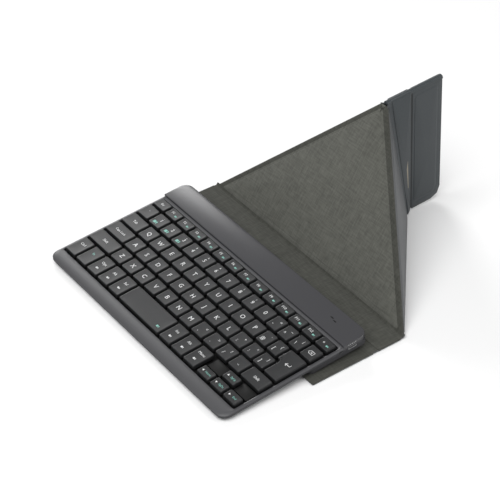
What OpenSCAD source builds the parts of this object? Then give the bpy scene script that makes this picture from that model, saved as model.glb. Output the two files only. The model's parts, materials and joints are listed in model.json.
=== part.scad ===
// Tablet keyboard case: a slim wireless keyboard fixed to a folding leather cover.
// Behind the keyboard the cover folds up into a Y-shaped stand that holds a tablet.
// X runs to the right, Y from the typist to the rear and Z up.  The origin is the
// middle of the base panel's underside, on the table.

/* [Keys] */
// Pitch of the letter keys
key_u = 16; // [14:0.5:19.2]
// Gap between neighbouring keys
key_gap = 2; // [1.5:0.1:3]
// Corner radius of a key
key_r = 1.5; // [0.8:0.1:2.5]
// Thickness of a key cap
cap_t = 3.2; // [2.9:0.1:3.3]
// Height of the cap's top above the deck
cap_proud = 2.2; // [1.9:0.1:2.5]
// How far a key travels when pressed
key_travel = 1.2; // [0.8:0.1:1.3]
// Depth of the function keys
function_d = 10; // [8:0.5:12]

/* [Keyboard case] */
// Deck at each side of the keys
side_margin = 4; // [3:0.5:8]
// Deck in front of the keys
palm_d = 13.6; // [13:0.2:20]
// Depth of the raised bar behind the keys
bar_d = 24.5; // [22:0.5:32]
// Height of the raised bar above the deck
bar_rise = 1.8; // [1:0.1:3]
// Thickness of the slab, underside to deck
case_h = 5; // [4.9:0.1:6.5]
// Corner radius of the slab
case_r = 8; // [4:0.5:10]
// Thickness of the top plate
top_t = 1; // [0.8:0.1:1.2]
// Thickness of the floor
floor_t = 0.8; // [0.6:0.1:0.9]
// Thickness of the side walls
wall_t = 1.2; // [1:0.1:2]
// Tilt of the keyboard, rear edge up
tilt = 4; // [2:0.5:6]
// Length of the battery bulge, from the rear edge
bulge_len = 58; // [50:1:66]

/* [Cover] */
// How far the keyboard sits to the left of the cover's middle
keyboard_offset = 3.5; // [0:0.5:5]
// How far the cover stands out past each end of the keyboard
overhang = 3.5; // [2:0.5:8]
// Thickness of the outer leather
leather_t = 0.8; // [0.6:0.1:1.2]
// Thickness of the stiffening boards
board_t = 0.9; // [0.6:0.1:1.2]
// Thickness of the lining over a board
lining_t = 0.7; // [0.5:0.1:1]
// Width of the spine strip, the ledge that the tablet stands on
spine_w = 27.5; // [20:0.5:33]
// Board edge to crease or free edge
board_inset = 6.5; // [5.5:0.5:9]
// Corner radius of the boards
board_r = 5; // [2:0.5:6]

/* [Stand] */
// Angle of the front panel above the table
lean = 57; // [52:1:64]
// How far behind the base crease the wings meet on the table
wing_reach = 97; // [88:1:106]
// Length of the fin, from the top of the front panel
fin_len = 25; // [20:0.5:36]
// Length of the closing flap beyond the fin
flap_len = 32.5; // [26:0.5:39]
// Half the space between the two halves' middle planes
half_split = 1.6; // [1.5:0.1:2]
// Half the width left free at a tight crease
tight_crease = 3; // [2.8:0.1:4]
// Half the width left free at a plain crease
plain_crease = 2; // [1.6:0.1:3]

/* [Hidden] */
$fn = 48;
// Clearance round moving parts
slack = 0.3;
// Foam tape at its thinnest, under the bulge's front edge
tape_t = 0.3;
// How far wing, fin and flap edges stay above the table
touch_lift = 0.95;
// Straight pieces in each rounded corner of a panel
arc_steps = 6;
// Overlap of joined solids
join = 0.1;

// Colours
slab_grey = [0.13, 0.13, 0.135];
key_black = [0.05, 0.05, 0.055];
leather_grey = [0.20, 0.21, 0.22];
lining_olive = [0.27, 0.27, 0.25];
board_brown = [0.45, 0.40, 0.32];

// ---- Keyboard layout, measured from the cluster's front left corner ----
cluster_w = 14.5625 * key_u - key_gap;
kb_w = cluster_w + 2 * side_margin;
narrow_u = 0.875 * key_u;
modifier_u = 0.975 * key_u;
arrow_x = 11.46875 * key_u;
arrow_u = (cluster_w + key_gap - arrow_x) / 3;
cap_d = key_u - key_gap;
front_row_d = 1.4 * key_u - key_gap;
arrow_d = (front_row_d - key_gap) / 2;
lower_y = palm_d + 1.4 * key_u;
home_y = lower_y + key_u;
upper_y = home_y + key_u;
digit_y = upper_y + key_u;
function_y = digit_y + key_u;
well_margin = 1.3;
well_back = function_y + function_d + well_margin;
rear_deck_d = 2.2;
bar_y = well_back + rear_deck_d;
kb_d = bar_y + bar_d;

// ---- Heights in the keyboard's own frame, from its underside ----
cap_z = case_h + cap_proud - cap_t;
plate_t = 0.4;
film_t = 0.2;
film_z = floor_t + plate_t;
works_z = film_z + film_t;
works_top = cap_z - key_travel - slack;
foot_h = 1;
foot_y = 2;
foot_d = 5;
foot_w = 34;
sheet_t = leather_t + board_t + lining_t;
foot_lift = foot_h * cos(tilt) - foot_y * sin(tilt);
bulge_y = kb_d - bulge_len;
bulge_d = (foot_lift + bulge_y * sin(tilt) - sheet_t - tape_t) / cos(tilt);

// ---- Cover, in plan ----
half_w = kb_w / 2 + overhang;
base_reach = 2;
base_y0 = bulge_y - base_reach;
spine_y = kb_d * cos(tilt) + sheet_t / 2 + 2 * slack;
stand_y = spine_y + spine_w;
origin_y = (base_y0 + spine_y) / 2;
panel_z = sheet_t / 2;

// ---- Stand: the flat sheet that folds at P-M and Q-M into wings and fins ----
span = half_w - half_split;
wing_edge = sqrt(span * span + wing_reach * wing_reach);
front_len = span * span / (wing_edge - wing_reach * cos(lean));
fin_end = front_len + fin_len;
flap_end = fin_end + flap_len;
corner_p = [half_w, 0, 0];
corner_m = [half_split, front_len, 0];
corner_q = [half_w, wing_edge, 0];
wing_crease = corner_m - corner_p;
fin_crease = corner_m - corner_q;
crease_u = wing_crease / norm(wing_crease);
folded_q = [half_split - half_w, wing_reach * cos(lean), -wing_reach * sin(lean)];
wing_fold = atan2(-folded_q[2], folded_q[0] * crease_u[1] - folded_q[1] * crease_u[0]);
apex_y = front_len * cos(lean);
apex_z = front_len * sin(lean);
wing_normal = [apex_z * wing_reach, apex_z * span, span * (wing_reach - apex_y)];
fin_fold = acos(wing_normal[0] / norm(wing_normal));

// ---- Outlines worked out from corner points, anticlockwise ----
function unit(v) = v / norm(v);
function cross2(a, b) = a[0] * b[1] - a[1] * b[0];
function left_of(u) = [-u[1], u[0]];
function turned(v, a) = [v[0] * cos(a) - v[1] * sin(a), v[0] * sin(a) + v[1] * cos(a)];
function meet(p, u, q, v) = p + u * cross2(q - p, v) / cross2(u, v);

// Each side, from point i to the next, moves inwards by insets[i].
function inset(points, insets) = let (n = len(points)) [
    for (i = [0 : n - 1])
        let (j = (i + n - 1) % n, u = unit(points[i] - points[j]),
             v = unit(points[(i + 1) % n] - points[i]))
        meet(points[i] + left_of(u) * insets[j], u, points[i] + left_of(v) * insets[i], v)];

// Each corner becomes an arc of radius r.
function rounded(points, r) = let (n = len(points)) [
    for (i = [0 : n - 1])
        let (u = unit(points[i] - points[(i + n - 1) % n]),
             v = unit(points[(i + 1) % n] - points[i]),
             turn = atan2(cross2(u, v), u * v),
             centre = points[i] - u * r * tan(turn / 2) + left_of(u) * r)
        for (k = [0 : arc_steps]) centre - turned(left_of(u), turn * k / arc_steps) * r];

function flat(p) = [p[0], p[1]];
function mirror_x(p) = [-p[0], p[1]];

module rounded_slab(w, d, r) {
    translate([r, 0]) square([w - 2 * r, d]);
    translate([0, r]) square([w, d - 2 * r]);
    for (x = [r, w - r], y = [r, d - r]) translate([x, y]) circle(r);
}

// ---- Placing ----
module on_keyboard() {
    translate([-keyboard_offset, -origin_y, foot_lift]) rotate([tilt, 0, 0]) children();
}
module on_cluster(z) {
    on_keyboard() translate([-cluster_w / 2, 0, z]) children();
}
module on_table() {
    translate([0, -origin_y, panel_z]) children();
}
module fold_about(p, v, a) {
    translate(p) rotate(a = a, v = v) translate(-p) children();
}
module on_front() {
    translate([0, stand_y - origin_y, panel_z]) rotate([lean, 0, 0]) children();
}
module sided(side) {
    if (side < 0) mirror([1, 0, 0]) children();
    else children();
}
module on_wing(side) {
    sided(side) on_front() fold_about(corner_p, wing_crease, wing_fold) children();
}
module on_fin(side) {
    on_wing(side) fold_about(corner_q, fin_crease, -fin_fold) children();
}

// ---- Cover layers: leather outside, board in the middle, lining over it ----
board_z = leather_t - panel_z;
module layer(z, t, points) {
    translate([0, 0, z]) linear_extrude(t) polygon(points);
}
module leather_layer(points) {
    color(leather_grey) layer(-panel_z, leather_t, points);
}
module board_layer(points) {
    color(board_brown) layer(board_z, board_t, rounded(points, board_r));
}
module lining_layer(points, board_points, tint = leather_grey) {
    color(tint) difference() {
        layer(board_z, board_t + lining_t, points);
        layer(board_z - 1, board_t + 1, rounded(board_points, board_r));
    }
}
function box_points(x, y0, y1) = [[-x, y0], [x, y0], [x, y1], [-x, y1]];

base_points = box_points(half_w, base_y0, spine_y - plain_crease);
base_board_points = inset(base_points, [board_inset, board_inset, board_inset, board_inset]);
module base_leather() { on_table() leather_layer(base_points); }
module base_board() { on_table() board_layer(base_board_points); }
module base_lining() { on_table() lining_layer(base_points, base_board_points, lining_olive); }

spine_points = box_points(half_w, spine_y + plain_crease, stand_y - plain_crease);
spine_inset = 2;
spine_board_points = inset(spine_points, [spine_inset, board_inset, spine_inset, board_inset]);
module spine_leather() { on_table() leather_layer(spine_points); }
module spine_board() { on_table() board_layer(spine_board_points); }
module spine_lining() { on_table() lining_layer(spine_points, spine_board_points, lining_olive); }

front_corners = [mirror_x(corner_p), flat(corner_p), flat(corner_m), mirror_x(corner_m)];
front_points = inset(front_corners, [plain_crease, tight_crease, tight_crease, tight_crease]);
front_board_points = inset(front_corners, [board_inset, board_inset, board_inset * 2, board_inset]);
module front_leather() { on_front() leather_layer(front_points); }
module front_board() { on_front() board_layer(front_board_points); }
module front_lining() { on_front() lining_layer(front_points, front_board_points, lining_olive); }

wing_corners = [flat(corner_p), flat(corner_q), flat(corner_m)];
wing_points = inset(wing_corners, [-touch_lift, tight_crease, tight_crease]);
wing_board_points = inset(wing_corners, [board_inset, board_inset, board_inset]);
module wing_leather(side) { on_wing(side) leather_layer(wing_points); }
module wing_board(side) { on_wing(side) board_layer(wing_board_points); }
module wing_lining(side) { on_wing(side) lining_layer(wing_points, wing_board_points); }
module right_wing_leather() { wing_leather(1); }
module right_wing_board() { wing_board(1); }
module right_wing_lining() { wing_lining(1); }
module left_wing_leather() { wing_leather(-1); }
module left_wing_board() { wing_board(-1); }
module left_wing_lining() { wing_lining(-1); }

fin_corners = [flat(corner_m), flat(corner_q), [half_w, fin_end], [half_split, fin_end]];
fin_points = inset(fin_corners, [tight_crease, -touch_lift, plain_crease, 0]);
fin_board_points = inset(fin_corners, [board_inset, board_inset, plain_crease + 2, board_inset]);
module fin_leather(side) { on_fin(side) leather_layer(fin_points); }
module fin_board(side) {
    on_fin(side) color(board_brown) layer(board_z, board_t, fin_board_points);
}
module fin_lining(side) {
    on_fin(side) color(leather_grey) difference() {
        layer(board_z, board_t + lining_t, fin_points);
        layer(board_z - 1, board_t + 1, fin_board_points);
    }
}
module right_fin_leather() { fin_leather(1); }
module right_fin_board() { fin_board(1); }
module right_fin_lining() { fin_lining(1); }
module left_fin_leather() { fin_leather(-1); }
module left_fin_board() { fin_board(-1); }
module left_fin_lining() { fin_lining(-1); }

// The flap keeps square corners at the seam and round ones at its free end.
flap_r = 7;
magnet_r = 4;
magnet_t = 1.2;
magnet_x = [0.3, 0.7];
module flap_outline() {
    x0 = half_split;
    x1 = half_w + touch_lift;
    translate([x0, fin_end + plain_crease]) square([x1 - x0, flap_len - plain_crease - flap_r]);
    translate([x0, fin_end + plain_crease]) square([x1 - x0 - flap_r, flap_len - plain_crease]);
    translate([x1 - flap_r, flap_end - flap_r]) circle(flap_r);
}
module magnet_discs(r, z, t) {
    for (k = magnet_x)
        translate([half_split + span * k, (fin_end + flap_end) / 2, z]) cylinder(r = r, h = t);
}
module flap(side) {
    on_fin(side) color(leather_grey) difference() {
        translate([0, 0, -panel_z]) linear_extrude(sheet_t) flap_outline();
        magnet_discs(magnet_r + 0.1, panel_z - magnet_t - 0.1, magnet_t + 1);
    }
}
module flap_magnets(side) {
    on_fin(side) color("silver") magnet_discs(magnet_r, panel_z - magnet_t - 0.1, magnet_t);
}
module right_flap() { flap(1); }
module left_flap() { flap(-1); }
module right_flap_magnets() { flap_magnets(1); }
module left_flap_magnets() { flap_magnets(-1); }

// ---- Keyboard case ----
screw_x = [-0.42 * kb_w, 0, 0.42 * kb_w];
screw_front_y = palm_d / 2;
screw_back_y = kb_d - 5;
screw_r = 0.7;
screw_head_r = 1.5;
boss_r = 2;
port_y = kb_d - 16;
port_w = 7.6;
port_h = 2.6;
port_z = 1.2;
switch_y = port_y - 11;
switch_w = 3;
switch_h = 1.2;
switch_z = 2;
switch_travel = 1.5;
switch_inside = 0.8;
switch_proud = 0.6;
hole_slack = 0.05;
head_recess = 0.5;
head_t = 0.35;

module slab_outline() {
    translate([-kb_w / 2, 0]) rounded_slab(kb_w, kb_d, case_r);
}
module slab_inside() {
    translate([-kb_w / 2 + wall_t, wall_t])
        rounded_slab(kb_w - 2 * wall_t, kb_d - 2 * wall_t, case_r - wall_t);
}
module behind(y) {
    intersection() {
        children();
        translate([-kb_w, y]) square([2 * kb_w, kb_d]);
    }
}
module screw_spots(z_front, z_back) {
    for (x = screw_x) {
        translate([x, screw_front_y, z_front]) children();
        translate([x, screw_back_y, z_back]) children();
    }
}
module bottom_case() {
    on_keyboard() color(slab_grey) difference() {
        union() {
            difference() {
                union() {
                    linear_extrude(case_h - top_t) slab_outline();
                    translate([0, 0, -bulge_d]) linear_extrude(bulge_d + join)
                        behind(bulge_y) slab_outline();
                }
                translate([0, 0, floor_t]) linear_extrude(case_h) slab_inside();
                translate([0, 0, floor_t - bulge_d]) linear_extrude(bulge_d + join)
                    behind(bulge_y + wall_t) slab_inside();
            }
            for (x = screw_x) {
                translate([x, screw_front_y, join])
                    cylinder(r = boss_r, h = case_h - top_t - join);
                translate([x, screw_back_y, join - bulge_d])
                    cylinder(r = boss_r, h = case_h - top_t + bulge_d - join);
            }
        }
        screw_spots(-join, -join - bulge_d)
            cylinder(r = screw_r + hole_slack, h = case_h - top_t - floor_t);
        screw_spots(-join, -join - bulge_d)
            cylinder(r = screw_head_r + 2 * hole_slack, h = head_recess);
        translate([kb_w / 2 - wall_t - 1, port_y - port_w / 2 - hole_slack, port_z - hole_slack])
            cube([wall_t + 2, port_w + 2 * hole_slack, port_h + 2 * hole_slack]);
        translate([kb_w / 2 - wall_t - 1, switch_y - switch_w / 2 - slack, switch_z - slack])
            cube([wall_t + 2, switch_w + switch_travel + 2 * slack, switch_h + 2 * slack]);
    }
}
module well_outline() {
    translate([-cluster_w / 2 - well_margin, palm_d - well_margin])
        square([cluster_w + 2 * well_margin, well_back - palm_d + well_margin]);
}
module top_case() {
    on_keyboard() color(slab_grey) translate([0, 0, case_h - top_t])
        linear_extrude(top_t) difference() {
            slab_outline();
            well_outline();
        }
}
groove = 0.6;
window_w = 3;
window_d = 1.2;
window_t = 0.55;
window_sink = 0.6;
window_spot = [kb_w / 2 - 20, kb_d - 6, case_h + bar_rise - window_sink];
module control_bar() {
    on_keyboard() color(slab_grey) difference() {
        translate([0, 0, case_h]) linear_extrude(bar_rise) behind(bar_y + groove) slab_outline();
        translate(window_spot) cube([window_w, window_d, 1]);
    }
}
module led_window() {
    on_keyboard() color([0.7, 0.85, 0.8]) translate(window_spot)
        cube([window_w, window_d, window_t]);
}
module arrow_fillers() {
    y0 = palm_d + arrow_d + key_gap;
    on_cluster(works_z) color(slab_grey) for (i = [0, 2])
        translate([arrow_x + i * arrow_u, y0, 0])
            linear_extrude(case_h - works_z) rounded_slab(arrow_u - key_gap, arrow_d, key_r);
}

// ---- Works under the keys ----
works_y = palm_d - well_margin;
works_d = well_back - works_y;
bay_x0 = -cluster_w / 2;
module key_plate() {
    on_keyboard() color([0.35, 0.35, 0.37]) translate([bay_x0, works_y, floor_t])
        cube([cluster_w, works_d, plate_t]);
}
module membrane() {
    on_keyboard() color([0.75, 0.75, 0.72]) translate([bay_x0, works_y, film_z])
        cube([cluster_w, works_d, film_t]);
}
module battery() {
    on_keyboard() color([0.6, 0.6, 0.62])
        translate([-kb_w / 2 + 12, bulge_y + wall_t + 4, floor_t - bulge_d])
            cube([kb_w * 0.45, bulge_len - 22, bulge_d - 0.4]);
}
module circuit_board() {
    on_keyboard() color([0.05, 0.3, 0.15])
        translate([kb_w * 0.08, bulge_y + wall_t + 4, floor_t - bulge_d]) {
            cube([kb_w * 0.3, bulge_len - 24, 1]);
            for (i = [0 : 2]) translate([8 + 20 * i, 8, 1]) cube([9, 9, 1]);
        }
}
module usb_port() {
    depth = 5.5;
    on_keyboard() color("silver") translate([kb_w / 2 - depth, port_y - port_w / 2, port_z])
        difference() {
            cube([depth, port_w, port_h]);
            translate([1, 0.4, 0.4]) cube([depth, port_w - 0.8, port_h - 0.8]);
        }
}
module power_switch() {
    on_keyboard() color(key_black)
        translate([kb_w / 2 - wall_t - switch_inside, switch_y - switch_w / 2, switch_z])
            cube([wall_t + switch_inside + switch_proud, switch_w, switch_h]);
}
module case_screws() {
    on_keyboard() color("silver") screw_spots(0, -bulge_d) {
        cylinder(r = screw_head_r, h = head_t);
        cylinder(r = screw_r, h = case_h - top_t - floor_t - 0.3);
    }
}
module rubber_feet() {
    on_keyboard() color([0.08, 0.08, 0.08]) for (x = [-0.38 * kb_w, 0.38 * kb_w])
        translate([x - foot_w / 2, foot_y, -foot_h]) cube([foot_w, foot_d, foot_h]);
}
module mounting_strip() {
    front = bulge_y * cos(tilt) + bulge_d * sin(tilt);
    strip_d = 12;
    end_gap = 6;
    color([0.1, 0.1, 0.1]) translate([-kb_w / 2 + end_gap - keyboard_offset, -origin_y, 0])
        rotate([90, 0, 90]) linear_extrude(kb_w - 2 * end_gap) polygon([
            [front, sheet_t], [front + strip_d, sheet_t],
            [front + strip_d, sheet_t + tape_t + strip_d * tan(tilt)],
            [front, sheet_t + tape_t]]);
}

// ---- Keys: each row is a list of [left edge, width] ----
function run(x, n, pitch) = [for (i = [0 : n - 1]) [x + i * pitch, pitch - key_gap]];
function_pitch = (cluster_w + key_gap) / 14;
function_row = run(function_pitch, 13, function_pitch);
digit_row = concat(run(0, 11, key_u), run(11 * key_u, 3, narrow_u));
upper_row = concat(run(1.5 * key_u, 10, key_u), run(11.5 * key_u, 2, narrow_u));
home_row = concat(run(1.75 * key_u, 10, key_u), run(11.75 * key_u, 2, narrow_u));
lower_row = run(2 * key_u, 11, key_u);
space_x = 5 * modifier_u;
right_modifier_x = arrow_x - 3 * key_u - 2;
modifier_row = concat(run(0, 5, modifier_u), run(right_modifier_x, 3, key_u));
backspace_x = 11 * key_u + 3 * narrow_u;
enter_top_x = 11.5 * key_u + 2 * narrow_u;
enter_low_x = 11.75 * key_u + 2 * narrow_u;
right_shift_x = 13 * key_u;

module cap(x, y, w, d) {
    color(key_black) translate([x, y, 0]) linear_extrude(cap_t) rounded_slab(w, d, key_r);
}
module row_caps(row, y, d) {
    on_cluster(cap_z) for (k = row) cap(k[0], y, k[1], d);
}
module one_cap(x, y, w, d) { on_cluster(cap_z) cap(x, y, w, d); }
module function_keys() { row_caps(function_row, function_y, function_d); }
module digit_keys() { row_caps(digit_row, digit_y, cap_d); }
module upper_letter_keys() { row_caps(upper_row, upper_y, cap_d); }
module home_letter_keys() { row_caps(home_row, home_y, cap_d); }
module lower_letter_keys() { row_caps(lower_row, lower_y, cap_d); }
module modifier_keys() { row_caps(modifier_row, palm_d, front_row_d); }
module escape_key() { one_cap(0, function_y, function_pitch - key_gap, function_d); }
module backspace_key() { one_cap(backspace_x, digit_y, cluster_w - backspace_x, cap_d); }
module tab_key() { one_cap(0, upper_y, 1.5 * key_u - key_gap, cap_d); }
module caps_key() { one_cap(0, home_y, 1.75 * key_u - key_gap, cap_d); }
module enter_key() {
    on_cluster(cap_z) color(key_black) linear_extrude(cap_t) {
        translate([enter_top_x, upper_y]) rounded_slab(cluster_w - enter_top_x, cap_d, key_r);
        translate([enter_low_x, home_y]) rounded_slab(cluster_w - enter_low_x, key_u + cap_d, key_r);
    }
}
module left_shift_key() { one_cap(0, lower_y, 2 * key_u - key_gap, cap_d); }
module right_shift_key() { one_cap(right_shift_x, lower_y, cluster_w - right_shift_x, cap_d); }
module space_bar() {
    one_cap(space_x, palm_d, right_modifier_x - key_gap - space_x, front_row_d);
}
module arrow_cap(i, upper) {
    one_cap(arrow_x + i * arrow_u, palm_d + upper * (arrow_d + key_gap), arrow_u - key_gap, arrow_d);
}
module up_key() { arrow_cap(1, 1); }
module down_key() { arrow_cap(1, 0); }
module left_key() { arrow_cap(0, 0); }
module right_key() { arrow_cap(2, 0); }

// One spot under the middle of each key.
function centres(row, y, d) = [for (k = row) [k[0] + k[1] / 2, y + d / 2]];
key_spots = concat(
    centres(concat([[0, function_pitch - key_gap]], function_row), function_y, function_d),
    centres(concat(digit_row, [[backspace_x, cluster_w - backspace_x]]), digit_y, cap_d),
    centres(concat([[0, 1.5 * key_u - key_gap]], upper_row), upper_y, cap_d),
    centres(concat([[0, 1.75 * key_u - key_gap]], home_row), home_y, cap_d),
    centres([[enter_low_x, cluster_w - enter_low_x]], home_y, key_u + cap_d),
    centres(concat([[0, 2 * key_u - key_gap]], lower_row), lower_y, cap_d),
    centres([[right_shift_x, cluster_w - right_shift_x]], lower_y, cap_d),
    centres(concat(modifier_row, [[space_x, right_modifier_x - key_gap - space_x]]),
        palm_d, front_row_d),
    centres([for (i = [0 : 2]) [arrow_x + i * arrow_u, arrow_u - key_gap]], palm_d, arrow_d),
    centres([[arrow_x + arrow_u, arrow_u - key_gap]], palm_d + arrow_d + key_gap, arrow_d));
module rubber_domes() {
    on_cluster(works_z) color([0.8, 0.8, 0.8]) for (p = key_spots)
        translate([p[0], p[1], 0]) cylinder(r = 1.8, h = works_top - works_z);
}
scissor_w = 6.4;
scissor_d = 6;
scissor_bar = 0.8;
module key_scissors() {
    on_cluster(works_z) color([0.85, 0.85, 0.85]) for (p = key_spots)
        translate([p[0] - scissor_w / 2, p[1] - scissor_d / 2, 0])
            linear_extrude(works_top - works_z) difference() {
                square([scissor_w, scissor_d]);
                translate([scissor_bar, scissor_bar])
                    square([scissor_w - 2 * scissor_bar, scissor_d - 2 * scissor_bar]);
            }
}

bottom_case();
top_case();
control_bar();
arrow_fillers();
key_plate();
membrane();
rubber_domes();
key_scissors();
circuit_board();
battery();
usb_port();
power_switch();
led_window();
case_screws();
rubber_feet();
mounting_strip();
function_keys();
digit_keys();
upper_letter_keys();
home_letter_keys();
lower_letter_keys();
modifier_keys();
escape_key();
backspace_key();
tab_key();
caps_key();
enter_key();
left_shift_key();
right_shift_key();
space_bar();
up_key();
down_key();
left_key();
right_key();
base_leather();
base_board();
base_lining();
spine_leather();
spine_board();
spine_lining();
front_leather();
front_board();
front_lining();
right_wing_leather();
right_wing_board();
right_wing_lining();
left_wing_leather();
left_wing_board();
left_wing_lining();
right_fin_leather();
right_fin_board();
right_fin_lining();
left_fin_leather();
left_fin_board();
left_fin_lining();
right_flap();
left_flap();
right_flap_magnets();
left_flap_magnets();
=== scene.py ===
"""Looks of a tablet keyboard case: keys and legends, the slim slab, and the folding leather cover.

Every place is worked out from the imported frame: the joints give the creases, and the boxes of the
CAD nodes give the slab and the keys.  Lengths are in metres.
"""

from __future__ import annotations

import json
import logging
from dataclasses import dataclass, field
from enum import Enum
from typing import Callable, ClassVar

import bpy
import numpy as np
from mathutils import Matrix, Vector


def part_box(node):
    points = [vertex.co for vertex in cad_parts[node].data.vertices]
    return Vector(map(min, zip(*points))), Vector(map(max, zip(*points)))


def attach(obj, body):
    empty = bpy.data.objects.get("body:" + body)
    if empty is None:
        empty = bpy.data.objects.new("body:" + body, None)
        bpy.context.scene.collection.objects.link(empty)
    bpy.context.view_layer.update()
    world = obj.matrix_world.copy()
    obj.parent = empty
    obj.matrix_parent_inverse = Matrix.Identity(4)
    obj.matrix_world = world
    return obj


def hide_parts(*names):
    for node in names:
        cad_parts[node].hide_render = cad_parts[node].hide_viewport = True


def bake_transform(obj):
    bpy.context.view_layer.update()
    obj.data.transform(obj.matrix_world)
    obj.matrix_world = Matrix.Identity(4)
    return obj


logging.basicConfig(level=logging.INFO, format="%(message)s")
log = logging.getLogger("keyboard_case")

MM = 0.001
BROAD_DRIFT = 22.0
WEAVE_SHARE = 0.8
SPECKLE_SHARE = 0.55
ROUGHNESS_DRIFT = 0.05
THREAD_STRETCH = 0.12
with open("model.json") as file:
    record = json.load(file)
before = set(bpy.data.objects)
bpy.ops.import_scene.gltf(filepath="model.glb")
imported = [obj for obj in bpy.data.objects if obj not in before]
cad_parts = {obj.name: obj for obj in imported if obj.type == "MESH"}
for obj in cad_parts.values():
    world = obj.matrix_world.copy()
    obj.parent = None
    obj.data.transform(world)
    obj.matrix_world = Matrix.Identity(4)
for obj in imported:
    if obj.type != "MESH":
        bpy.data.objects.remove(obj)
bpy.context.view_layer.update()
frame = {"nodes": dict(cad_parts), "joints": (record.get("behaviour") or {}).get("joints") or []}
JOINTS = {joint["name"]: joint for joint in frame["joints"]}
Turn = Callable[[np.ndarray], np.ndarray]


# ---------------------------------------------------------------- finishes


class Grain(Enum):
    """Kinds of surface relief."""

    PEBBLE = "pebble"
    NAP = "nap"
    MOULDED = "moulded"
    BRUSHED = "brushed"
    WEAVE = "weave"


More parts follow.
